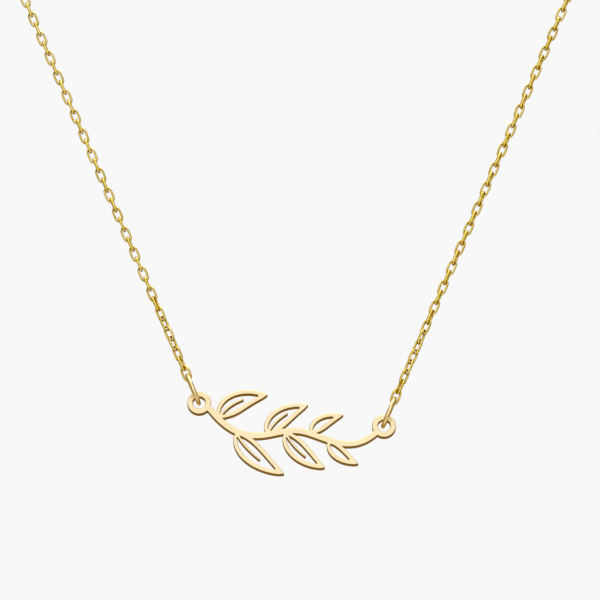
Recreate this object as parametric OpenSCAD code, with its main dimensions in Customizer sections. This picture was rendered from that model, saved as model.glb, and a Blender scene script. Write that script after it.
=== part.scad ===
// A necklace of fine cable chain with a pierced flourish plate hung between two rings.
// The origin is where the necklace sits on the nape; the plate hangs in front of it, at -Y.

/* [Plate] */
// Distance across between the centres of the two eyelets
eyelet_span = 29.4; // [26:0.1:34]
// How much lower the right eyelet sits than the left one
eyelet_drop = 3.9; // [0:0.1:7]
// Height that the flourish is drawn to
flourish_h = 13.6; // [11:0.1:17]
// Thickness of the plate
plate_t = 1.2; // [0.8:0.05:1.4]
// Bore of each eyelet
eyelet_bore = 2; // [1.9:0.05:2.6]
// Width of the rim around each bore
eyelet_rim = 0.9; // [0.6:0.02:1.1]
// Width of the main strokes
stroke_w = 0.95; // [0.75:0.01:1.15]
// Width of the fine strokes
fine_w = 0.66; // [0.55:0.01:0.8]

/* [Jump rings] */
// Outer diameter of the two rings that carry the plate
jump_od = 5.5; // [4.8:0.1:6.5]
// Wire of the two rings that carry the plate
jump_wire = 0.66; // [0.5:0.02:0.8]
// How far above the middle of its bore each ring's wire passes
jump_lift = 0.15; // [0:0.01:0.25]
// Degrees that each ring turns about its strand, away from straight across the plate
jump_turn = 5; // [0:0.5:8]
// How far inward of the middle of its bore the left ring's wire passes
left_inset = 0; // [0:0.01:0.35]
// How far inward of the middle of its bore the right ring's wire passes
right_inset = 0.2; // [0:0.01:0.35]

/* [Chain] */
// Wire of the chain's links
link_wire = 0.4; // [0.3:0.01:0.5]
// Distance from one link to the next with the chain pulled straight
link_pitch = 1.83; // [1.7:0.01:2.2]
// Clearance between each link and what passes through it
link_gap = 0.15; // [0.12:0.005:0.18]

/* [Clasp] */
// Outer diameter of the clasp's ring
clasp_od = 6; // [5.4:0.1:7.5]
// Wire of the clasp's ring
clasp_wire = 1.2; // [1:0.05:1.4]
// Outer diameter of the clasp's eye
clasp_eye_od = 2.6; // [2.4:0.05:3]
// Wire of the clasp's eye
clasp_eye_wire = 0.5; // [0.4:0.02:0.6]
// Outer diameter of the ring at the left end of the chain
end_left_od = 3.6; // [3.4:0.1:4.4]
// Outer diameter of the ring at the right end of the chain
end_right_od = 4.2; // [4:0.1:5]
// Wire of both end rings
end_wire = 0.6; // [0.5:0.02:0.66]

/* [Route] */
// Lean of each front strand from upright
strand_tilt = 22.4; // [18:0.1:26]
// Height of the straight strands above the left eyelet
strand_rise = 76; // [68:1:84]
// Distance from the nape forward to the plate
neck_depth = 78; // [70:1:90]
// Height of the nape above the left eyelet
neck_rise = 110; // [104:1:118]
// How strongly each strand keeps its lean above its straight stretch
shoulder_pull = 36; // [28:1:44]
// How strongly the chain keeps level as it leaves the nape
nape_pull = 50; // [42:1:58]

/* [Hidden] */
$fn = 48;

LEFT = -1;
RIGHT = 1;
curve_steps = 18;
route_steps = 100;

// Plate gold, ring gold and chain gold
plate_gold = [0.93, 0.8, 0.56];
ring_gold = [0.85, 0.7, 0.42];
chain_gold = [0.82, 0.64, 0.25];

jump_r = (jump_od - jump_wire) / 2;
end_left_r = (end_left_od - end_wire) / 2;
end_right_r = (end_right_od - end_wire) / 2;
clasp_r = (clasp_od - clasp_wire) / 2;
clasp_eye_r = (clasp_eye_od - clasp_eye_wire) / 2;
eyelet_od = eyelet_bore + 2 * eyelet_rim;

link_len = link_pitch + 2 * link_wire + link_gap;
link_w = 3 * link_wire + 2 * link_gap;
// The last links open wider, to take the thicker wire of the rings
end_link_w = 2 * link_wire + 2 * link_gap + max(jump_wire, end_wire);

// Turn of the links about each strand: link number from the jump ring, degrees away from flat.
// The left strand turns back and the right one goes on to a quarter turn, and neither lies quite
// flat in front
left_twist = [[0, jump_turn + 11], [2, 45], [5, 45], [9, 8], [48, 8], [60, 0]];
right_twist = [[0, jump_turn + 11], [2, 45], [4, 45], [9, 82], [48, 82], [60, 90]];
function twist(side) = side == LEFT ? left_twist : right_twist;

// The flourish is a leafy branch. Each axis is four places of a smooth curve, across as a share
// of eyelet_span and up as a share of flourish_h from the line that joins the eyelets
// The stem's stretches, from the left eyelet to the right one: axis, and width at its foot, its
// middle and its tip as shares of stroke_w
stems = [
    [[[0.045, -0.03], [0.1, -0.17], [0.16, -0.3], [0.25, -0.32]], 1.05, 1.1, 1.1],
    [[[0.25, -0.32], [0.37, -0.35], [0.45, -0.17], [0.57, -0.2]], 1.1, 1.05, 1],
    [[[0.57, -0.2], [0.7, -0.24], [0.82, -0.42], [0.965, -0.08]], 1, 1, 1]
];
// Open leaves: axis from foot to tip, half-width as a share of flourish_h, and rim as a share of
// stroke_w
open_leaves = [
    [[[0.105, -0.16], [0.15, 0.01], [0.23, 0.15], [0.37, 0.2]], 0.13, 0.76],
    [[[0.2, -0.31], [0.24, -0.47], [0.32, -0.64], [0.46, -0.75]], 0.135, 0.76],
    [[[0.365, -0.29], [0.4, -0.12], [0.47, 0.04], [0.59, 0.14]], 0.118, 0.74],
    [[[0.465, -0.23], [0.5, -0.38], [0.57, -0.53], [0.68, -0.61]], 0.118, 0.74],
    [[[0.605, -0.21], [0.63, -0.1], [0.685, 0.01], [0.78, 0.07]], 0.088, 0.72],
    [[[0.7, -0.27], [0.725, -0.37], [0.775, -0.46], [0.86, -0.51]], 0.088, 0.72]
];
rib_w = 0.72 * fine_w;
leaf_fullness = 0.72;
// Below 1, a leaf is widest nearer its foot
leaf_lean = 0.86;
rib_share = 0.62;
// Width of an opening where it starts and ends
opening_end = 0.2;
// A round end is this much wider than the band it closes
end_swell = 1.04;

// General curve functions
function unit(v) = v / norm(v);
function bezier(p, t) =
    pow(1 - t, 3) * p[0] + 3 * t * pow(1 - t, 2) * p[1] + 3 * t * t * (1 - t) * p[2] + pow(t, 3) * p[3];
function bezier_dir(p, t) =
    unit(pow(1 - t, 2) * (p[1] - p[0]) + 2 * t * (1 - t) * (p[2] - p[1]) + t * t * (p[3] - p[2]));
function left_of(v) = [-v[1], v[0]];

// Places along the necklace, for the LEFT or RIGHT side
eyelet_shift = eyelet_drop * tan(strand_tilt) / 2;
strand_half = eyelet_span / 2 + eyelet_shift + strand_rise * tan(strand_tilt);
function eyelet_x(side) = side * eyelet_span / 2 - eyelet_shift;
function eyelet_z(side) = -neck_rise - (side == RIGHT ? eyelet_drop : 0);
function eyelet(side) = [eyelet_x(side), -neck_depth, eyelet_z(side)];
function strand_dir(side) = [side * sin(strand_tilt), 0, cos(strand_tilt)];
function inset(side) = side == LEFT ? left_inset : right_inset;
function jump_seat(side) = eyelet(side) - [side * inset(side), 0, 0] + jump_lift * strand_dir(side);
function strand_top(side) =
    [side * (strand_half - inset(side)), -neck_depth, strand_rise - neck_rise];
function strand_len(side) = norm(strand_top(side) - jump_seat(side));

// The rings at the nape, in a row along X with the clasp's ring in the middle
end_right_x = clasp_r - clasp_wire / 2 - link_gap - end_wire / 2 + end_right_r;
clasp_eye_x = -(clasp_r + clasp_eye_r);
end_left_x = clasp_eye_x - clasp_eye_r + clasp_eye_wire / 2 + link_gap + end_wire / 2 - end_left_r;
function nape_x(side) = side == LEFT ? end_left_x - end_left_r : end_right_x + end_right_r;
function back_curve(side) = [
    strand_top(side),
    strand_top(side) + shoulder_pull * strand_dir(side),
    [nape_x(side) + side * nape_pull, 0, 0],
    [nape_x(side), 0, 0]
];

// Length along the back curve against its parameter, and the point and frame at a length
function running(v, i = 0, sum = 0) =
    i == len(v) ? [sum] : concat([sum], running(v, i + 1, sum + v[i]));
function curve_lengths(p) = running([
    for (i = [1:route_steps]) norm(bezier(p, i / route_steps) - bezier(p, (i - 1) / route_steps))
]);
function curve_table(p) = let (sums = curve_lengths(p)) [
    for (i = [0:route_steps]) [sums[i], i / route_steps]
];
tables = [curve_table(back_curve(LEFT)), curve_table(back_curve(RIGHT))];
function table(side) = tables[side == LEFT ? 0 : 1];
function curve_len(side) = table(side)[route_steps][0];
function curve_at(side, s) = lookup(s - strand_len(side), table(side));
function route_point(side, s) =
    s < strand_len(side)
        ? jump_seat(side) + s * strand_dir(side)
        : bezier(back_curve(side), curve_at(side, s));
function route_dir(side, s) =
    s < strand_len(side) ? strand_dir(side) : bezier_dir(back_curve(side), curve_at(side, s));
// The outward side turns from the front, round by the shoulder, to the back
function outward(side, s) =
    let (turn = s < strand_len(side) ? 0 : 180 * curve_at(side, s))
    [side * sin(turn), -cos(turn), 0];
function route_out(side, s) =
    let (out = outward(side, s), dir = route_dir(side, s)) unit(out - (out * dir) * dir);

// The links run from the jump ring's top wire to the end ring's outer wire. Each one stands across
// the last, and both ends have to meet their ring flat, so the twist settles odd or even
function first_link(side) = 2 * jump_r - jump_wire / 2 - link_gap - link_wire + link_len / 2;
function last_link(side) =
    strand_len(side) + curve_len(side) + end_wire / 2 + link_gap + link_wire - link_len / 2;
function quarter_turns(side) = twist(side)[len(twist(side)) - 1][1] / 90;
function link_steps(side) =
    let (spare = quarter_turns(side), steps = (last_link(side) - first_link(side)) / link_pitch)
    2 * ceil((steps - spare) / 2) + spare;
function link_place(side, i) =
    first_link(side) + (last_link(side) - first_link(side)) * i / link_steps(side);

// Local Y runs along the route, and local Z points outward
module on_route(side, s) {
    along = route_dir(side, s);
    out = route_out(side, s);
    across = cross(along, out);
    place = route_point(side, s);
    multmatrix([
        [across[0], along[0], out[0], place[0]],
        [across[1], along[1], out[1], place[1]],
        [across[2], along[2], out[2], place[2]],
        [0, 0, 0, 1]
    ]) children();
}

module wire_ring(radius, wire) {
    rotate_extrude() translate([radius, 0]) circle(d = wire);
}

module link(width) {
    bend = (width - link_wire) / 2;
    straight = link_len - width;
    for (end = [0, 1])
        mirror([0, end, 0])
            translate([0, straight / 2, 0])
                rotate_extrude(angle = 180) translate([bend, 0]) circle(d = link_wire);
    for (edge = [-1, 1])
        translate([edge * bend, 0, 0])
            rotate([90, 0, 0]) cylinder(d = link_wire, h = straight, center = true);
}

module chain(side) {
    last = link_steps(side);
    for (i = [0:last])
        on_route(side, link_place(side, i))
            rotate([0, (i % 2) * 90 + side * lookup(i, twist(side)), 0])
                link(i == 0 || i == last ? end_link_w : link_w);
}

module chain_left() {
    color(chain_gold) chain(LEFT);
}
module chain_right() {
    color(chain_gold) chain(RIGHT);
}

// Each jump ring stands across the plate, close to the plane of its strand and the Y axis
module jump_ring(side) {
    translate(jump_seat(side) + jump_r * strand_dir(side))
        rotate([0, side * strand_tilt, 0])
            rotate([0, 90, side * jump_turn])
                wire_ring(jump_r, jump_wire);
}
module jump_ring_left() {
    color(ring_gold) jump_ring(LEFT);
}
module jump_ring_right() {
    color(ring_gold) jump_ring(RIGHT);
}

module end_ring_left() {
    color(ring_gold) translate([end_left_x, 0, 0]) wire_ring(end_left_r, end_wire);
}
module end_ring_right() {
    color(ring_gold) translate([end_right_x, 0, 0]) wire_ring(end_right_r, end_wire);
}
module clasp() {
    color(ring_gold) {
        rotate([90, 0, 0]) wire_ring(clasp_r, clasp_wire);
        translate([clasp_eye_x, 0, 0]) rotate([90, 0, 0]) wire_ring(clasp_eye_r, clasp_eye_wire);
    }
}

function drawn(axis) = [
    for (place = axis) [place[0] * eyelet_span, place[1] * flourish_h - place[0] * eyelet_drop]
];

// A band of the plate along an axis: half_widths holds its half-width at each of its evenly
// spaced ways, and proud how far a cut stands out of both faces
module band(axis, from, to, half_widths, proud = 0) {
    steps = len(half_widths) - 1;
    ways = [for (i = [0:steps]) from + (to - from) * i / steps];
    sides = [for (i = [0:steps]) half_widths[i] * left_of(bezier_dir(axis, ways[i]))];
    translate([0, 0, -proud])
        linear_extrude(plate_t + 2 * proud)
            polygon(concat(
                [for (i = [0:steps]) bezier(axis, ways[i]) + sides[i]],
                [for (i = [steps:-1:0]) bezier(axis, ways[i]) - sides[i]]
            ));
}

module disc(place, width, proud = 0) {
    translate([place[0], place[1], -proud]) cylinder(d = width, h = plate_t + 2 * proud);
}

// A stretch of stem, round at its tip
module stem(axis, foot, middle, tip) {
    swell = middle - (foot + tip) / 2;
    band(axis, 0, 1, [
        for (i = [0:curve_steps]) let (t = i / curve_steps)
            (foot + (tip - foot) * t + swell * sin(180 * t)) / 2
    ]);
    disc(axis[3], end_swell * tip);
}

// A leaf's half-width at a share of the way along it, and the shares where it has a given one
function leaf_half(half_width, t) =
    half_width * pow(max(0, sin(180 * pow(t, leaf_lean))), leaf_fullness);
function leaf_way(half_width, wanted, side) =
    let (turn = asin(pow(wanted / half_width, 1 / leaf_fullness)))
    pow((side == LEFT ? turn : 180 - turn) / 180, 1 / leaf_lean);

// A leaf cut open inside an even rim, with a rib up its middle where there is room for one
module open_leaf(axis, half_width, rim) {
    begin = leaf_way(half_width, rim + opening_end / 2, LEFT);
    stop = leaf_way(half_width, rim + opening_end / 2, RIGHT);
    difference() {
        band(axis, 0, 1, [for (i = [0:curve_steps]) leaf_half(half_width, i / curve_steps)]);
        band(axis, begin, stop, [
            for (i = [0:curve_steps])
                leaf_half(half_width, begin + (stop - begin) * i / curve_steps) - rim
        ], 1);
    }
    if (half_width - rim > 1.2 * fine_w) {
        band(axis, begin / 2, rib_share, [
            for (i = [0:curve_steps]) (1 - 0.3 * i / curve_steps) * rib_w / 2
        ]);
        disc(bezier(axis, rib_share), end_swell * 0.7 * rib_w);
    }
}

module flourish() {
    for (leaf = open_leaves) open_leaf(drawn(leaf[0]), leaf[1] * flourish_h, leaf[2] * stroke_w);
    for (line = stems)
        stem(drawn(line[0]), line[1] * stroke_w, line[2] * stroke_w, line[3] * stroke_w);
}

// Drawn flat, then stood up with the middle of its thickness in the plane of the strands
module nameplate() {
    eyelets = [[0, 0], [eyelet_span, -eyelet_drop]];
    color(plate_gold)
        translate(eyelet(LEFT) + [0, plate_t / 2, 0])
            rotate([90, 0, 0])
                difference() {
                    union() {
                        flourish();
                        for (place = eyelets) disc(place, eyelet_od);
                    }
                    for (place = eyelets) disc(place, eyelet_bore, 1);
                }
}

nameplate();
jump_ring_left();
jump_ring_right();
chain_left();
chain_right();
end_ring_left();
end_ring_right();
clasp();
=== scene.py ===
import math

import bmesh
import bpy
import numpy as np
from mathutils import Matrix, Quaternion, Vector
from mathutils.geometry import delaunay_2d_cdt


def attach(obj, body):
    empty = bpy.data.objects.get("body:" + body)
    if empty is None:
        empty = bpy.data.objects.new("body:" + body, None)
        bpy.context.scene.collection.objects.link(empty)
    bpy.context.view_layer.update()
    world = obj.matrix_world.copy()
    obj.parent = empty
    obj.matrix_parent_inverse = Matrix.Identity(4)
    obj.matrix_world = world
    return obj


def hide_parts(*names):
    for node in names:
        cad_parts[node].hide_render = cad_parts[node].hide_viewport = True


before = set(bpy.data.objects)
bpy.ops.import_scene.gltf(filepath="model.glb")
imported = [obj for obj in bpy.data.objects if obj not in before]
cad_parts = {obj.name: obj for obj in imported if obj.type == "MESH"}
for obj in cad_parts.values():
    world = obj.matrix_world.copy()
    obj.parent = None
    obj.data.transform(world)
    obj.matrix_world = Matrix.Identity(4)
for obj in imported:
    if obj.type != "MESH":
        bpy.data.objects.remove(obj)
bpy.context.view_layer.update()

MM = 0.001

# Links: steps round the wire, round a bend and along a side; their wire and width as shares of
# the CAD link's; how much their bent wire spreads through the link, and how far their sides bow
LINK_SIDES = 14
LINK_BEND_STEPS = 14
LINK_SIDE_STEPS = 6
LINK_SLIM = 0.86
LINK_NARROW = 0.965
LINK_SPREAD = 1.28
LINK_BOW = 0.3

# A link's soldered seam: how much it swells the wire, and how far along it
SEAM_SWELL = 0.05
SEAM_REACH = 0.16 * MM

# How far at most a link hangs turned about its length and about its other axes, in degrees, the
# share by which a strand's lowest link turns towards the link two along, and the seed of the
# links' turns and tones
LINK_ROLL = 6.0
LINK_LEAN = 1.2
END_TURN = 0.8
CHAIN_SEED = 7

# Steps round a ring and round its wire
RING_STEPS = 120
RING_SIDES = 24

# The fine cut where a ring's ends meet: its width, the length of the bevel on each end, the bevel
# from the cut on as shares of that length and of the wire's radius, and the side that has the cut
CUT_GAP = 0.05 * MM
CUT_BEVEL = 0.06 * MM
CUT_PROFILE = ((0.0, 0.02), (0.0, 0.8), (0.25, 0.93), (1.0, 1.0))
JUMP_RING_CUT = (0.0, 1.0, 0.25)
END_RING_CUT = (0.4, 1.0, 0.0)

# The plate's outline: the length of its steps, how close points are merged, and the degrees by
# which a corner that stays sharp turns
OUTLINE_STEP = 0.13 * MM
OUTLINE_MERGE = 0.05 * MM
SHARP_CORNER = 34

# The plate's worn edges: their radius and steps, how far inside them the face is held flat, the
# share of its depth that an inner point has to reach, and the degrees of an edge shaded sharp
EDGE_ROUND = 0.13 * MM
EDGE_STEPS = 4
EDGE_HOLD = 0.03 * MM
EDGE_REACHED = 0.97
SHARP_EDGE = 38

# Distances that count as none, in metres and, for the plate's triangles, in millimetres
WELD_REACH = 1e-7
FLAT_REACH = 1e-6
TRIANGLE_REACH = 1e-5
# About how many points are measured against the outline at a time
BATCH = 400

# The clasp: degrees round it where its gate starts and ends; a lip from the gate on, in degrees
# and shares of the tube's radius; where the lip has ended, the plain tube's share, and about how
# many degrees its sections lie apart
GATE = (104.0, 152.0)
LIP = ((0, 0.1), (0, 0.86), (1, 1.0), (2, 1.0), (4, 1.0), (6, 1.0))
LIP_END = 7.5
TUBE_SLIM = 0.96
ARC_STEP = 3.0
# Its bolt's share of the tube's radius, and the degrees of it hidden at each side of the gate
BOLT_SLIM = 0.62
BOLT_HIDDEN = 4
# Its trigger: degrees before the gate, the share of the tube's radius at which it stands, steps
# round it, and its heights and radii in millimetres
KNOB_TURN = 14
KNOB_FOOT = 0.75
KNOB_SIDES = 20
KNOB = (
    (0.0, 0.2), (0.25, 0.19), (0.4, 0.3), (0.52, 0.36), (0.66, 0.34), (0.74, 0.22), (0.75, 0.04)
)
# Its eye's wire, and the side that has the eye's cut
EYE_WIRE = 0.5 * MM
EYE_CUT = (-0.3, 0.0, 1.0)

# Patterns: cells a metre and detail, how the grain is scaled along each axis, and the span of a
# pattern's values that looks run over
PLATE_CLOUD = (180, 3)
PLATE_GRAIN = (2600, 4)
GRAIN_STRETCH = (0.25, 1, 1)
WIRE_CLOUD = (900, 3)
WIRE_MARKS = (5200, 4)
WIRE_DENTS = (1500, 1)
FLOOR_CLOUD = (3, 2)
PATTERN_SPAN = (0.3, 0.7)

# The plate: dark and light tones and roughness of its faces and of its walls, the walls' tones
# darkened partly as painted shade, painted shade tones of the walls that look down, the tint of
# what it mirrors at a slant, and its grain's strength and depth
FACE_TONES = ((0.87, 0.73, 0.46), (0.93, 0.8, 0.52))
FACE_ROUGH = (0.27, 0.37)
# the walls' tones are partly their own polished colour and partly painted shade that darkens them
# against the faces
WALL_TONES_AND_SHADE = ((0.82, 0.66, 0.32), (0.88, 0.74, 0.4))
WALL_ROUGH = (0.16, 0.24)
# painted shade: walls that look down get a dark tone that stands in for the shade they mirror
UNDER_SHADE_TONES = ((0.2, 0.11, 0.014), (0.27, 0.16, 0.028))
PLATE_GLANCE = (1.0, 0.83, 0.54)
GRAIN_BUMP = (0.05, 0.01 * MM)
# How squarely its surface looks to the front or back where the face's look starts and is full, and
# how far it looks up, from -1 to 1, where the walls leave their tones for the painted shade below
FACE_SPAN = (0.55, 0.97)
UNDER_SHADE_SPAN = (-0.6, 0.2)

# Gold wire: dark and light tones, the painted shade on its rims where it turns away from view, the
# tint of what it mirrors at a slant, its roughness, and the depth of its dents
RING_WIRE = {
    "dark": (0.97, 0.8, 0.44),
    "light": (1.0, 0.87, 0.54),
    # edge: the tone of the painted rim shade
    "edge": (0.8, 0.58, 0.24),
    "glance": (1.0, 0.92, 0.72),
    "rough": (0.06, 0.14),
    "dent": 0.01 * MM
}
CHAIN_WIRE = {
    "dark": (0.73, 0.56, 0.06),
    "light": (1.0, 0.84, 0.26),
    # edge: the tone of the painted rim shade
    "edge": (0.62, 0.42, 0.03),
    "glance": (1.0, 0.74, 0.3),
    "rough": (0.03, 0.09),
    "dent": 0.1 * MM
}
# How far wire turns away from view, from 0 to 1, where its painted rim shade starts and is full,
# and the blend that keeps this scale even
RIM_SHADE_SPAN = (0.25, 0.85)
EVEN_BLEND = 0.5
# How strong the wire's dents are, and how strong and deep its handling marks
DENT_STRENGTH = 1.0
MARK_BUMP = (0.1, 0.01 * MM)
# The share of a chain link's colour that is its own tone
TONE_SHARE = 0.5
# The painted shade where links touch: how near the next link is, how open the surface is, from 0
# to 1, where the painted shade is full and where it ends, its colour, and how finely it is sampled
CONTACT_SHADE_REACH = 0.4 * MM
CONTACT_SHADE_SPAN = (0.45, 0.9)
CONTACT_SHADE_TONE = (0.36, 0.18, 0.01)
CONTACT_SHADE_SAMPLES = 8

# The photograph's view
VIEW_ELEVATION = math.radians(-20)
VIEW_DISTANCE = 1.2
FRAME_WIDTH = 96 * MM
VIEW_TARGET = Vector((0.54 * MM, -78 * MM, -92.43 * MM))
SENSOR = 36.0
CLIP_NEAR = 0.05
CLIP_FAR = 40

# The floor
FLOOR_Z = -1.2
FLOOR_REACH = 12.0
FLOOR_TONES = ((0.87, 0.875, 0.885), (0.9, 0.905, 0.915))
FLOOR_ROUGH = 0.9

# Lamps for the floor and the piece: name, place, size and power
LAMPS = (
    ("key", (-0.35, -0.9, 0.45), 0.7, 0.35),
    ("top", (0.3, 0.1, 1.0), 0.8, 0.6)
)

# What the camera sees past the piece, and what lights the floor
BACKDROP = (0.9387, 0.9387, 0.9387)
FLOOR_LIGHT = (0.99, 0.99, 0.99)
# The room that the metal sees, from front to back, and what dims it low down, from below up
ROOM_DEPTH = (
    (0.0, (0.75, 0.71, 0.6)),
    (0.2, (0.62, 0.56, 0.43)),
    (0.36, (0.45, 0.36, 0.2)),
    (0.55, (0.38, 0.28, 0.12)),
    (0.8, (0.38, 0.28, 0.12)),
    (1.0, (0.5, 0.4, 0.2))
)
ROOM_HEIGHT = (
    (0.0, (0.7, 0.6, 0.46)),
    (0.18, (0.85, 0.78, 0.66)),
    (0.3, (1.0, 1.0, 1.0)),
    (1.0, (1.0, 1.0, 1.0))
)
# Light panels in the room: towards, degrees from its middle where each one ends and where it is
# full, colour
PANELS = (
    ((0.0, -0.94, 0.342), 34, 20, (1.08, 1.07, 1.04)),
    ((0.0, -0.94, -0.32), 34, 20, (1.12, 1.1, 1.05)),
    ((0.0, -0.1, 1.0), 44, 30, (1.9, 1.86, 1.78)),
    ((0.0, -0.2, -0.97), 50, 28, (0.78, 0.71, 0.58)),
    ((0.0, 0.96, -0.27), 30, 16, (0.62, 0.48, 0.24))
)


# Mesh helpers
def mesh_object(name, verts, faces, tones=None):
    """A mesh object; tones holds one number a vertex that its material may read."""
    mesh = bpy.data.meshes.new(name)
    mesh.from_pydata(np.asarray(verts).tolist(), [], [list(map(int, f)) for f in faces])
    mesh.polygons.foreach_set("use_smooth", [True] * len(mesh.polygons))
    if tones is not None:
        layer = mesh.attributes.new("tone", "FLOAT", "POINT")
        layer.data.foreach_set("value", np.asarray(tones, np.float32))
    mesh.update()
    obj = bpy.data.objects.new(name, mesh)
    bpy.context.scene.collection.objects.link(obj)
    return obj


def welded(node):
    """Points and triangles of a CAD node with its doubled points joined."""
    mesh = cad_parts[node].data
    mesh.calc_loop_triangles()
    points = np.zeros(len(mesh.vertices) * 3)
    mesh.vertices.foreach_get("co", points)
    points = points.reshape(-1, 3)
    tris = np.zeros(len(mesh.loop_triangles) * 3, np.int64)
    mesh.loop_triangles.foreach_get("vertices", tris)
    keys = np.round(points / WELD_REACH).astype(np.int64)
    _, first, back = np.unique(keys, axis=0, return_index=True, return_inverse=True)
    tris = back.reshape(-1)[tris].reshape(-1, 3)
    real = (tris[:, 0] != tris[:, 1]) & (tris[:, 1] != tris[:, 2]) & (tris[:, 2] != tris[:, 0])
    return points[first], tris[real]


def shells(points, tris):
    """The triangles of each loose part."""
    label = np.arange(len(points))
    while True:
        low = label[tris].min(1)
        new = label.copy()
        np.minimum.at(new, tris.ravel(), np.repeat(low, 3))
        new = new[new]
        if (new == label).all():
            break
        label = new
    part = label[tris[:, 0]]
    order = np.argsort(part, kind="stable")
    cuts = np.flatnonzero(np.diff(part[order])) + 1
    return [tris[rows] for rows in np.split(order, cuts)]


def principal_frame(points, tris):
    """Centre and principal directions of a shell, the longest spread first."""
    a, b, c = points[tris[:, 0]], points[tris[:, 1]], points[tris[:, 2]]
    areas = np.linalg.norm(np.cross(b - a, c - a), axis=1)
    middles = (a + b + c) / 3
    centre = (areas[:, None] * middles).sum(0) / areas.sum()
    offsets = middles - centre
    spread = (offsets * areas[:, None]).T @ offsets
    axes = np.linalg.eigh(spread)[1][:, ::-1].T
    return centre, axes


def rim_sides(tris):
    """The sides, each from one point to the next, that only one triangle has."""
    sides = np.concatenate([tris[:, [0, 1]], tris[:, [1, 2]], tris[:, [2, 0]]])
    there = {(int(a), int(b)) for a, b in sides}
    return [(a, b) for a, b in there if (b, a) not in there]


def swept_wire(path, outs, axis, radii, sides, closed):
    """Vertices and faces of a wire along a path that turns anticlockwise about axis."""
    turn = 2 * math.pi * np.arange(sides) / sides
    ring = np.cos(turn)[None, :, None] * outs[:, None, :] + np.sin(turn)[None, :, None] * axis
    verts = path[:, None, :] + radii[:, None, None] * ring
    count = len(path)
    last = count if closed else count - 1
    i, j = np.meshgrid(np.arange(last), np.arange(sides), indexing="ij")
    i_next = (i + 1) % count
    j_next = (j + 1) % sides
    faces = np.stack(
        [i * sides + j, i_next * sides + j, i_next * sides + j_next, i * sides + j_next], -1
    )
    return verts.reshape(-1, 3), faces.reshape(-1, 4)


def capped_wire(path, outs, axis, radii):
    """A ring's wire along an open path, with a face across each end."""
    verts, faces = swept_wire(path, outs, axis, radii, RING_SIDES, False)
    first = list(range(RING_SIDES))
    last = [len(verts) - RING_SIDES + k for k in range(RING_SIDES)]
    return verts, [list(f) for f in faces] + [first, last[::-1]]


# The chain
def link_wire(length, width, wire):
    """One link in its own frame: X across, Y along, Z through it."""
    bend = (width - wire) / 2
    half = (length - width) / 2
    turns = np.linspace(0, math.pi, LINK_BEND_STEPS + 1)
    arc = np.stack([np.cos(turns), np.sin(turns), 0 * turns], -1)
    slide = np.linspace(half, -half, LINK_SIDE_STEPS + 1)[1:-1]
    edge = np.stack([0 * slide - bend, slide, 0 * slide], -1)
    flat = np.tile([-1.0, 0.0, 0.0], (len(slide), 1))
    top = bend * arc + [0, half, 0]
    path = np.concatenate([top, edge, -top, -edge])
    outs = np.concatenate([arc, flat, -arc, -flat])
    oval = bend * np.sqrt(np.clip(1 - (path[:, 1] / (bend + half)) ** 2, 0, 1))
    path[:, 0] += LINK_BOW * (np.sign(path[:, 0]) * oval - path[:, 0])
    seam = np.exp(-((path[:, 1] / SEAM_REACH) ** 2)) * (path[:, 0] < 0)
    radii = wire / 2 * (1 + SEAM_SWELL * seam)
    through = np.array([0.0, 0.0, LINK_SPREAD])
    return swept_wire(path, outs, through, radii, LINK_SIDES, True)


def turned_about(axis, degrees):
    """The rotation by some degrees about an axis, for rows of coordinates."""
    turn = Quaternion(Vector(axis), math.radians(degrees))
    return np.array(turn.to_matrix()).T


def fine_chain(name, node, rng):
    """Every link of a CAD chain again, with a rounder wire, in the same place."""
    points, tris = welded(node)
    verts, faces, tones = [], [], []
    start = 0
    links = [(shell, *principal_frame(points, shell)) for shell in shells(points, tris)]
    links.sort(key=lambda link: link[1][2])
    for k, (shell, centre, axes) in enumerate(links):
        along, across = axes[0], axes[1]
        through = np.cross(across, along)
        length, width, wire = 2 * np.abs(
            (points[shell].reshape(-1, 3) - centre) @ np.stack([along, across, through]).T
        ).max(0)
        if k == 0:
            # the lowest link of a strand is the one that holds the jump ring
            other = links[2][2][1]
            other = other - (other @ along) * along
            other = other * np.sign(other @ across)
            across = (1 - END_TURN) * across + END_TURN * other
            across = across / np.linalg.norm(across)
            through = np.cross(across, along)
        link, quads = link_wire(length, LINK_NARROW * width, LINK_SLIM * wire)
        link = link @ turned_about((0, 1, 0), rng.uniform(-LINK_ROLL, LINK_ROLL))
        link = link @ turned_about((1, 0, 0), rng.uniform(-LINK_LEAN, LINK_LEAN))
        link = link @ turned_about((0, 0, 1), rng.uniform(-LINK_LEAN, LINK_LEAN))
        verts.append(link @ np.stack([across, along, through]) + centre)
        faces.append(quads + start)
        tones.append(np.full(len(link), rng.random()))
        start += len(link)
    return mesh_object(name, np.concatenate(verts), np.concatenate(faces), np.concatenate(tones))


# Rings bent from wire
def ring_frame(points, tris):
    """Centre, axis, radius to the wire's middle, and wire of a round ring."""
    centre, axes = principal_frame(points, tris)
    places = points[tris].reshape(-1, 3) - centre
    axis = axes[2]
    up = places @ axis
    wire = up.max() - up.min()
    out = np.linalg.norm(places - up[:, None] * axis, axis=1).max()
    return centre, axis, out - wire / 2, wire


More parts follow.
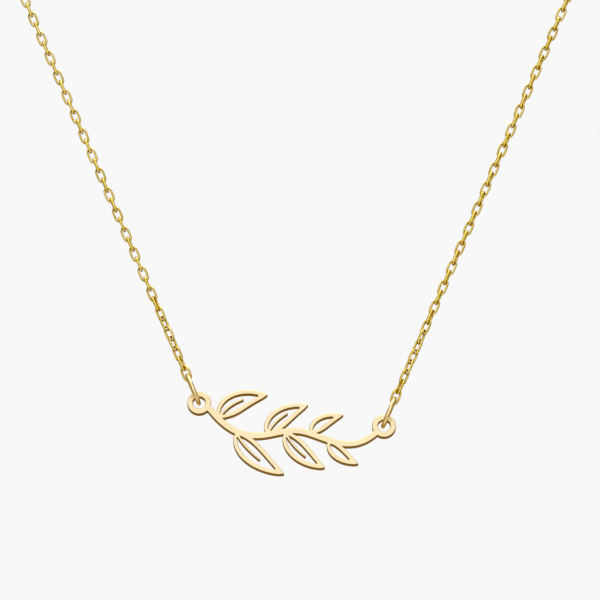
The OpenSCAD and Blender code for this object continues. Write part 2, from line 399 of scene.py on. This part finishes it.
def cut_ring(centre, axis, radius, wire, cut_towards):
    """A ring of round wire whose two ends meet at a fine cut on its cut_towards side."""
    start = np.asarray(cut_towards, float)
    start = start - (start @ axis) * axis
    start = start / np.linalg.norm(start)
    side = np.cross(axis, start)
    gap = CUT_GAP / 2 / radius
    bevel = CUT_BEVEL / radius
    ways, shares = np.array(CUT_PROFILE).T
    turns = np.concatenate([
        gap + ways * bevel,
        np.linspace(gap + bevel, 2 * math.pi - gap - bevel, RING_STEPS)[1:-1],
        2 * math.pi - gap - ways[::-1] * bevel
    ])
    radii = wire / 2 * np.concatenate([shares, np.ones(RING_STEPS - 2), shares[::-1]])
    outs = np.cos(turns)[:, None] * start + np.sin(turns)[:, None] * side
    return capped_wire(centre + radius * outs, outs, axis, radii)


def fine_ring(name, node, cut_towards):
    """A CAD ring again, with its cut."""
    verts, faces = cut_ring(*ring_frame(*welded(node)), cut_towards)
    return mesh_object(name, verts, faces)


# The plate
def outline_loops(node):
    """The outline of the plate's front as loops of (x, z) with the metal on their left, and the Y
    of its front and back."""
    points, tris = welded(node)
    front, back = points[:, 1].min(), points[:, 1].max()
    facing = tris[(points[tris][:, :, 1] < front + FLAT_REACH).all(1)]
    ahead = dict(rim_sides(facing))
    loops = []
    while ahead:
        at = min(ahead)
        loop = []
        while at in ahead:
            loop.append(points[at][[0, 2]])
            at = ahead.pop(at)
        loops.append(np.array(loop))
    return loops, front, back


def without_stubs(loop):
    """The loop without points closer than OUTLINE_MERGE to the one kept before."""
    kept = [loop[0]]
    for place in loop[1:]:
        if np.linalg.norm(place - kept[-1]) > OUTLINE_MERGE:
            kept.append(place)
    if np.linalg.norm(kept[0] - kept[-1]) < OUTLINE_MERGE:
        kept.pop()
    return np.array(kept)


def corners_of(loop):
    """Whether the loop turns sharply at each point."""
    ahead = np.roll(loop, -1, 0) - loop
    behind = loop - np.roll(loop, 1, 0)
    cross = behind[:, 0] * ahead[:, 1] - behind[:, 1] * ahead[:, 0]
    dot = (behind * ahead).sum(1)
    return np.abs(np.degrees(np.arctan2(cross, dot))) > SHARP_CORNER


def smooth_stretch(a, b, c, d):
    """Points from b up to c on a smooth curve; a and d are the places before and after them."""
    count = max(1, int(round(np.linalg.norm(c - b) / OUTLINE_STEP)))
    t = (np.arange(count) / count)[:, None]
    return 0.5 * (
        2 * b + (c - a) * t + (2 * a - 5 * b + 4 * c - d) * t**2 + (3 * b - a - 3 * c + d) * t**3
    )


def rounded_loop(loop):
    """The loop in short even steps, curved between its sharp corners."""
    loop = without_stubs(loop)
    sharp = corners_of(loop)
    count = len(loop)
    fine = []
    for k in range(count):
        b, c = loop[k], loop[(k + 1) % count]
        a = b - (c - b) if sharp[k] else loop[k - 1]
        d = c + (c - b) if sharp[(k + 1) % count] else loop[(k + 2) % count]
        # the neighbours count at the stretch's own length, so a short one beside it can't loop
        long = np.linalg.norm(c - b)
        a = b + (a - b) * long / np.linalg.norm(a - b)
        d = c + (d - c) * long / np.linalg.norm(d - c)
        fine.append(smooth_stretch(a, b, c, d))
    return np.concatenate(fine)


def in_batches(points):
    """The points in groups that the outline can be measured against at once."""
    return np.array_split(points, max(1, len(points) // BATCH))


def depth_inside(points, starts, ends):
    """Distance of each point from the outline, whose sides run from starts to ends."""
    runs = ends - starts
    lengths = (runs**2).sum(1)
    found = []
    for batch in in_batches(points):
        offsets = batch[:, None, :] - starts[None]
        t = np.clip((offsets * runs[None]).sum(2) / lengths[None], 0, 1)
        gaps = offsets - t[:, :, None] * runs[None]
        found.append(np.sqrt((gaps**2).sum(2).min(1)))
    return np.concatenate(found)


def is_inside(points, starts, ends):
    """Whether each point lies in the metal, by how often a line from it meets the outline."""
    rise = ends[:, 1] - starts[:, 1]
    # a level side is never met, so any rise does for it
    rise = np.where(rise == 0, 1.0, rise)
    found = []
    for batch in in_batches(points):
        z = batch[:, 1][:, None]
        spans = (starts[None, :, 1] > z) != (ends[None, :, 1] > z)
        x = starts[None, :, 0] + (z - starts[None, :, 1]) * (ends[:, 0] - starts[:, 0]) / rise
        found.append((spans & (x > batch[:, 0][:, None])).sum(1) % 2 == 1)
    return np.concatenate(found)


def edge_drop(depth):
    """How far the rounded edge lies below the flat face at a distance from the outline."""
    short = np.clip(EDGE_ROUND - depth, 0, EDGE_ROUND)
    return EDGE_ROUND - np.sqrt(EDGE_ROUND**2 - short**2)


def outline_net(loops, starts, ends):
    """The outline and its insets down the worn edge, as points and the sides that join them."""
    points = [starts]
    sides = []
    base = 0
    for loop in loops:
        order = base + np.arange(len(loop))
        sides.append(np.stack([order, np.roll(order, -1)], 1))
        base += len(loop)
    turns = np.linspace(0, math.pi / 2, EDGE_STEPS + 1)[1:]
    insets = list(EDGE_ROUND * (1 - np.cos(turns))) + [EDGE_ROUND + EDGE_HOLD]
    for inset in insets:
        for loop in loops:
            run = np.roll(loop, -1, 0) - np.roll(loop, 1, 0)
            run = run / np.linalg.norm(run, axis=1)[:, None]
            inner = loop + inset * np.stack([-run[:, 1], run[:, 0]], 1)
            good = depth_inside(inner, starts, ends) > EDGE_REACHED * inset
            order = np.cumsum(good) - 1 + base
            linked = good & np.roll(good, -1)
            sides.append(np.stack([order, np.roll(order, -1)], 1)[linked])
            points.append(inner[good])
            base += int(good.sum())
    return np.concatenate(points), np.concatenate(sides)


def flat_face(loops, starts, ends):
    """The metal inside the outline as points (x, z) and anticlockwise triangles."""
    points, sides = outline_net(loops, starts, ends)
    flat, _, tris, _, _, _ = delaunay_2d_cdt(
        [Vector(p) for p in points / MM], sides.tolist(), [], 0, TRIANGLE_REACH, False
    )
    flat = np.array([tuple(p) for p in flat]) * MM
    tris = np.array(tris)
    tris = tris[is_inside(flat[tris].mean(1), starts, ends)]
    run_a = flat[tris[:, 1]] - flat[tris[:, 0]]
    run_b = flat[tris[:, 2]] - flat[tris[:, 0]]
    clockwise = run_a[:, 0] * run_b[:, 1] - run_a[:, 1] * run_b[:, 0] < 0
    tris[clockwise] = tris[clockwise][:, ::-1]
    used, tris = np.unique(tris, return_inverse=True)
    return flat[used], tris.reshape(-1, 3)


def worn_plate(name, node):
    """The plate again from its outline, with both faces' edges worn round."""
    loops, front, back = outline_loops(node)
    loops = [rounded_loop(loop) for loop in loops]
    starts = np.concatenate(loops)
    ends = np.concatenate([np.roll(loop, -1, 0) for loop in loops])
    flat, tris = flat_face(loops, starts, ends)
    drop = edge_drop(depth_inside(flat, starts, ends))
    front_side = np.stack([flat[:, 0], front + drop, flat[:, 1]], 1)
    back_side = np.stack([flat[:, 0], back - drop, flat[:, 1]], 1)
    half = len(flat)
    faces = [tuple(t) for t in tris] + [(a + half, c + half, b + half) for a, b, c in tris]
    wall = [(b, a, a + half, b + half) for a, b in rim_sides(tris)]
    obj = mesh_object(name, np.concatenate([front_side, back_side]), faces + wall)
    obj.data.set_sharp_from_angle(angle=math.radians(SHARP_EDGE))
    return obj


# The hidden clasp
def bent_rod(axis, radius, stations):
    """A rod bent round axis; each station is (degrees round, radius of the rod there)."""
    turns = np.radians([s[0] for s in stations])
    radii = np.array([s[1] for s in stations])
    start = np.array([1.0, 0.0, 0.0])
    side = np.cross(axis, start)
    outs = np.cos(turns)[:, None] * start + np.sin(turns)[:, None] * side
    return capped_wire(radius * outs, outs, axis, radii)


def arc_stations(begin, end, radius):
    """Even stations of one radius from begin to end, in degrees."""
    count = max(2, int(abs(end - begin) / ARC_STEP))
    return [(begin + (end - begin) * k / count, radius) for k in range(count + 1)]


def joined(name, parts):
    """One object from several (vertices, faces)."""
    verts, faces = [], []
    start = 0
    for part_verts, part_faces in parts:
        verts.append(part_verts)
        faces += [[start + int(k) for k in face] for face in part_faces]
        start += len(part_verts)
    return mesh_object(name, np.concatenate(verts), faces)


def lathe(foot, axis, profile, sides):
    """A turned form along axis from foot; the profile holds (height, radius) rows."""
    turned = np.cross(axis, [0.0, 0.0, 1.0])
    turned = turned / np.linalg.norm(turned)
    other = np.cross(axis, turned)
    turn = 2 * math.pi * np.arange(sides) / sides
    ring = np.cos(turn)[:, None] * turned + np.sin(turn)[:, None] * other
    verts = np.concatenate([foot + h * axis + r * ring for h, r in profile])
    faces = []
    for i in range(len(profile) - 1):
        for j in range(sides):
            k = (j + 1) % sides
            faces.append([i * sides + j, i * sides + k, (i + 1) * sides + k, (i + 1) * sides + j])
    faces.append(list(range(sides))[::-1])
    faces.append([len(verts) - sides + j for j in range(sides)])
    return verts, faces


def gated_tube(axis, radius, tube):
    """The clasp's tube, with a lip at each side of its gate, and the bolt that closes it."""
    begin, end = GATE[1], 360 + GATE[0]
    lip = [(turn, share * tube) for turn, share in LIP]
    stations = [(begin + turn, rod) for turn, rod in lip]
    stations += arc_stations(begin + LIP_END, end - LIP_END, TUBE_SLIM * tube)
    stations += [(end - turn, rod) for turn, rod in reversed(lip)]
    bolt = arc_stations(GATE[0] - BOLT_HIDDEN, GATE[1] + BOLT_HIDDEN, BOLT_SLIM * tube)
    return [bent_rod(axis, radius, stations), bent_rod(axis, radius, bolt)]


def spring_ring(name, node):
    """The nape clasp: a tube ring with a thinner sprung bolt in its gate, a trigger and an eye."""
    points, _ = welded(node)
    low, high = points.min(0), points.max(0)
    tube = (high[1] - low[1]) / 2
    radius = high[2] - tube
    ring_axis = np.array([0.0, -1.0, 0.0])
    parts = gated_tube(ring_axis, radius, tube)
    turn = math.radians(GATE[0] - KNOB_TURN)
    knob_axis = -ring_axis
    foot = radius * np.array([math.cos(turn), 0.0, math.sin(turn)]) + KNOB_FOOT * tube * knob_axis
    parts.append(lathe(foot, knob_axis, [(h * MM, r * MM) for h, r in KNOB], KNOB_SIDES))
    eye = (-radius - low[0] - EYE_WIRE / 2) / 2
    eye_centre = np.array([low[0] + EYE_WIRE / 2 + eye, 0.0, 0.0])
    parts.append(cut_ring(eye_centre, ring_axis, eye, EYE_WIRE, EYE_CUT))
    return joined(name, parts)


# Materials
def node_material(name):
    """A new material, with its nodes, its links and its shader."""
    mat = bpy.data.materials.new(name)
    mat.use_nodes = True
    nodes = mat.node_tree.nodes
    return mat, nodes, mat.node_tree.links, nodes["Principled BSDF"]


def noise(nodes, links, coords, scale, detail, stretch=None):
    """A noise pattern on the object's own coordinates, in pattern cells a metre."""
    node = nodes.new("ShaderNodeTexNoise")
    node.inputs["Scale"].default_value = scale
    node.inputs["Detail"].default_value = detail
    source = coords.outputs["Object"]
    if stretch is not None:
        mapping = nodes.new("ShaderNodeMapping")
        mapping.inputs["Scale"].default_value = stretch
        links.new(source, mapping.inputs["Vector"])
        source = mapping.outputs["Vector"]
    links.new(source, node.inputs["Vector"])
    return node.outputs["Fac"]


def ramp(nodes, links, source, stops):
    """A colour that follows a value through stops of (value, colour)."""
    node = nodes.new("ShaderNodeValToRGB")
    bar = node.color_ramp
    bar.elements[0].position = stops[0][0]
    bar.elements[0].color = (*stops[0][1], 1)
    bar.elements[1].position = stops[-1][0]
    bar.elements[1].color = (*stops[-1][1], 1)
    for place, colour in stops[1:-1]:
        bar.elements.new(place).color = (*colour, 1)
    links.new(source, node.inputs["Fac"])
    return node.outputs["Color"]


def clouded(nodes, links, pattern, tones):
    """A dark and a light tone in a pattern."""
    return ramp(nodes, links, pattern, tuple(zip(PATTERN_SPAN, tones)))


def to_range(nodes, links, source, low, high, to_low, to_high):
    """A value that runs from to_low to to_high while its source runs from low to high."""
    node = nodes.new("ShaderNodeMapRange")
    node.inputs["From Min"].default_value = low
    node.inputs["From Max"].default_value = high
    node.inputs["To Min"].default_value = to_low
    node.inputs["To Max"].default_value = to_high
    links.new(source, node.inputs["Value"])
    return node.outputs["Result"]


def add_bump(nodes, links, shader, height, strength, distance, over=None):
    """A bump on the shader, on top of another bump's normal if there is one."""
    node = nodes.new("ShaderNodeBump")
    node.inputs["Strength"].default_value = strength
    node.inputs["Distance"].default_value = distance
    links.new(height, node.inputs["Height"])
    if over is not None:
        links.new(over, node.inputs["Normal"])
    links.new(node.outputs["Normal"], shader.inputs["Normal"])
    return node.outputs["Normal"]


def mixed(nodes, links, share, first, second, blend="MIX"):
    """The second colour over the first by a share; each is a socket or a value."""
    node = nodes.new("ShaderNodeMix")
    node.data_type = "RGBA"
    node.blend_type = blend
    if isinstance(share, float):
        node.inputs[0].default_value = share
    else:
        links.new(share, node.inputs[0])
    for source, socket in ((first, node.inputs[6]), (second, node.inputs[7])):
        if isinstance(source, tuple):
            socket.default_value = (*source, 1)
        else:
            links.new(source, socket)
    return node.outputs[2]


def plate_metal():
    """Satin champagne gold on the faces, and darker, richer gold on the sawn walls, partly their
    own polish and partly painted shade, with the darkest painted shade on the walls that look
    down."""
    mat, nodes, links, shader = node_material("plate_satin")
    shader.inputs["Metallic"].default_value = 1.0
    coords = nodes.new("ShaderNodeTexCoord")
    split = nodes.new("ShaderNodeSeparateXYZ")
    links.new(coords.outputs["Normal"], split.inputs["Vector"])
    facing = nodes.new("ShaderNodeMath")
    facing.operation = "ABSOLUTE"
    links.new(split.outputs["Y"], facing.inputs[0])
    on_face = to_range(nodes, links, facing.outputs["Value"], *FACE_SPAN, 0.0, 1.0)
    cloud = noise(nodes, links, coords, *PLATE_CLOUD)
    face = clouded(nodes, links, cloud, FACE_TONES)
    wall = clouded(nodes, links, cloud, WALL_TONES_AND_SHADE)
    # painted shade on the walls that look down, mixed in by how far each looks up
    shaded_under = clouded(nodes, links, cloud, UNDER_SHADE_TONES)
    turned_up = to_range(nodes, links, split.outputs["Z"], *UNDER_SHADE_SPAN, 0.0, 1.0)
    wall = mixed(nodes, links, turned_up, shaded_under, wall)
    links.new(mixed(nodes, links, on_face, wall, face), shader.inputs["Base Color"])
    shader.inputs["Specular Tint"].default_value = (*PLATE_GLANCE, 1)
    grain = noise(nodes, links, coords, *PLATE_GRAIN, GRAIN_STRETCH)
    face_rough = to_range(nodes, links, grain, *PATTERN_SPAN, *FACE_ROUGH)
    wall_rough = to_range(nodes, links, grain, *PATTERN_SPAN, *WALL_ROUGH)
    rough = nodes.new("ShaderNodeMix")
    rough.data_type = "FLOAT"
    links.new(on_face, rough.inputs[0])
    links.new(wall_rough, rough.inputs[2])
    links.new(face_rough, rough.inputs[3])
    links.new(rough.outputs[0], shader.inputs["Roughness"])
    add_bump(nodes, links, shader, grain, *GRAIN_BUMP)
    return mat


def wire_metal(name, dark, light, edge, glance, rough, dent, has_tones):
    """Polished gold wire, with painted shade on its rims where it turns away from view, faint
    handling marks and shallow dents. Each link of the chain has its own tone and gets painted
    shade where it touches the next."""
    mat, nodes, links, shader = node_material(name)
    shader.inputs["Metallic"].default_value = 1.0
    coords = nodes.new("ShaderNodeTexCoord")
    cloud = noise(nodes, links, coords, *WIRE_CLOUD)
    colour = clouded(nodes, links, cloud, (dark, light))
    if has_tones:
        tone = nodes.new("ShaderNodeAttribute")
        tone.attribute_name = "tone"
        varied = ramp(nodes, links, tone.outputs["Fac"], ((0.0, dark), (1.0, light)))
        colour = mixed(nodes, links, TONE_SHARE, colour, varied)
    # painted shade: rims that turn away from view are mixed towards the edge tone
    turned = nodes.new("ShaderNodeLayerWeight")
    turned.inputs["Blend"].default_value = EVEN_BLEND
    share = to_range(nodes, links, turned.outputs["Facing"], *RIM_SHADE_SPAN, 0.0, 1.0)
    colour = mixed(nodes, links, share, colour, edge)
    if has_tones:
        # painted shade: where the next link is near, the colour is darkened towards the contact
        # shade tone
        occlusion = nodes.new("ShaderNodeAmbientOcclusion")
        occlusion.samples = CONTACT_SHADE_SAMPLES
        occlusion.inputs["Distance"].default_value = CONTACT_SHADE_REACH
        share = to_range(nodes, links, occlusion.outputs["AO"], *CONTACT_SHADE_SPAN, 1.0, 0.0)
        colour = mixed(nodes, links, share, colour, CONTACT_SHADE_TONE)
    links.new(colour, shader.inputs["Base Color"])
    shader.inputs["Specular Tint"].default_value = (*glance, 1)
    marks = noise(nodes, links, coords, *WIRE_MARKS)
    links.new(to_range(nodes, links, marks, *PATTERN_SPAN, *rough), shader.inputs["Roughness"])
    dents = noise(nodes, links, coords, *WIRE_DENTS)
    dented = add_bump(nodes, links, shader, dents, DENT_STRENGTH, dent)
    add_bump(nodes, links, shader, marks, *MARK_BUMP, dented)
    return mat


def dress(piece, node, body, material):
    """Gives a piece its material and puts it in a CAD node's place."""
    piece.data.materials.append(material)
    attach(piece, body)
    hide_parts(node)


# The studio
def plain_floor():
    """A pale floor far below, which the metal doesn't mirror."""
    bm = bmesh.new()
    bmesh.ops.create_grid(bm, x_segments=2, y_segments=2, size=FLOOR_REACH)
    mesh = bpy.data.meshes.new("floor")
    bm.to_mesh(mesh)
    bm.free()
    floor = bpy.data.objects.new("floor", mesh)
    floor.location.z = FLOOR_Z
    floor.visible_glossy = False
    bpy.context.scene.collection.objects.link(floor)
    mat, nodes, links, shader = node_material("floor_pale")
    coords = nodes.new("ShaderNodeTexCoord")
    cloud = noise(nodes, links, coords, *FLOOR_CLOUD)
    links.new(clouded(nodes, links, cloud, FLOOR_TONES), shader.inputs["Base Color"])
    shader.inputs["Roughness"].default_value = FLOOR_ROUGH
    floor.data.materials.append(mat)


def area_light(name, location, size, power):
    """A square white lamp that looks at the plate."""
    data = bpy.data.lights.new(name, "AREA")
    data.shape = "SQUARE"
    data.size = size
    data.energy = power
    lamp = bpy.data.objects.new(name, data)
    lamp.location = location
    lamp.rotation_euler = (VIEW_TARGET - Vector(location)).to_track_quat("-Z", "Y").to_euler()
    bpy.context.scene.collection.objects.link(lamp)


def facing_share(nodes, links, way, towards, out, full):
    """How far a direction lies inside a round panel: 0 beyond out degrees from its middle and 1
    within full degrees."""
    dot = nodes.new("ShaderNodeVectorMath")
    dot.operation = "DOT_PRODUCT"
    dot.inputs[1].default_value = Vector(towards).normalized()
    links.new(way, dot.inputs[0])
    edge, middle = math.cos(math.radians(out)), math.cos(math.radians(full))
    return to_range(nodes, links, dot.outputs["Value"], edge, middle, 0.0, 1.0)


def studio_world():
    """White where the camera looks past the piece, and pale light for the floor. The metal sees a
    warm room, brightest at the front, with the PANELS in it."""
    world = bpy.data.worlds.new("studio")
    bpy.context.scene.world = world
    world.use_nodes = True
    nodes, links = world.node_tree.nodes, world.node_tree.links
    nodes.clear()
    coords = nodes.new("ShaderNodeTexCoord")
    way = coords.outputs["Generated"]
    split = nodes.new("ShaderNodeSeparateXYZ")
    links.new(way, split.inputs["Vector"])
    y_share = to_range(nodes, links, split.outputs["Y"], -1, 1, 0, 1)
    depth = ramp(nodes, links, y_share, ROOM_DEPTH)
    z_share = to_range(nodes, links, split.outputs["Z"], -1, 1, 0, 1)
    height = ramp(nodes, links, z_share, ROOM_HEIGHT)
    lit = mixed(nodes, links, 1.0, depth, height, "MULTIPLY")
    for towards, out, full, colour in PANELS:
        share = facing_share(nodes, links, way, towards, out, full)
        lit = mixed(nodes, links, share, lit, colour)
    seen = nodes.new("ShaderNodeLightPath")
    lit = mixed(nodes, links, seen.outputs["Is Diffuse Ray"], lit, FLOOR_LIGHT)
    backdrop = mixed(nodes, links, seen.outputs["Is Camera Ray"], lit, BACKDROP)
    background = nodes.new("ShaderNodeBackground")
    background.inputs["Strength"].default_value = 1.0
    links.new(backdrop, background.inputs["Color"])
    output = nodes.new("ShaderNodeOutputWorld")
    links.new(background.outputs["Background"], output.inputs["Surface"])


def photo_camera():
    """The camera of the photograph, below the plate and a long way off."""
    data = bpy.data.cameras.new("camera")
    data.sensor_width = SENSOR
    data.lens = SENSOR * VIEW_DISTANCE / FRAME_WIDTH
    data.clip_start = CLIP_NEAR
    data.clip_end = CLIP_FAR
    camera = bpy.data.objects.new("camera", data)
    ahead = Vector((0, math.cos(VIEW_ELEVATION), -math.sin(VIEW_ELEVATION)))
    camera.location = VIEW_TARGET - VIEW_DISTANCE * ahead
    camera.rotation_euler = ahead.to_track_quat("-Z", "Y").to_euler()
    bpy.context.scene.collection.objects.link(camera)
    bpy.context.scene.camera = camera


photo_camera()

plate_gold = plate_metal()
ring_gold = wire_metal("ring_polish", has_tones=False, **RING_WIRE)
chain_gold = wire_metal("chain_polish", has_tones=True, **CHAIN_WIRE)

dress(worn_plate("plate_worn", "nameplate"), "nameplate", "pendant", plate_gold)
rng = np.random.default_rng(CHAIN_SEED)
for side in ("left", "right"):
    node = "chain_" + side
    dress(fine_chain(node + "_links", node, rng), node, "necklace", chain_gold)
    for kind, cut in (("jump_ring_", JUMP_RING_CUT), ("end_ring_", END_RING_CUT)):
        node = kind + side
        dress(fine_ring(node + "_bent", node, cut), node, "necklace", ring_gold)
dress(spring_ring("clasp_spring_ring", "clasp"), "clasp", "necklace", ring_gold)

plain_floor()
for name, place, size, power in LAMPS:
    area_light(name, place, size, power)
studio_world()

scene = bpy.context.scene
scene.view_settings.view_transform = "Standard"
scene.view_settings.look = "None"
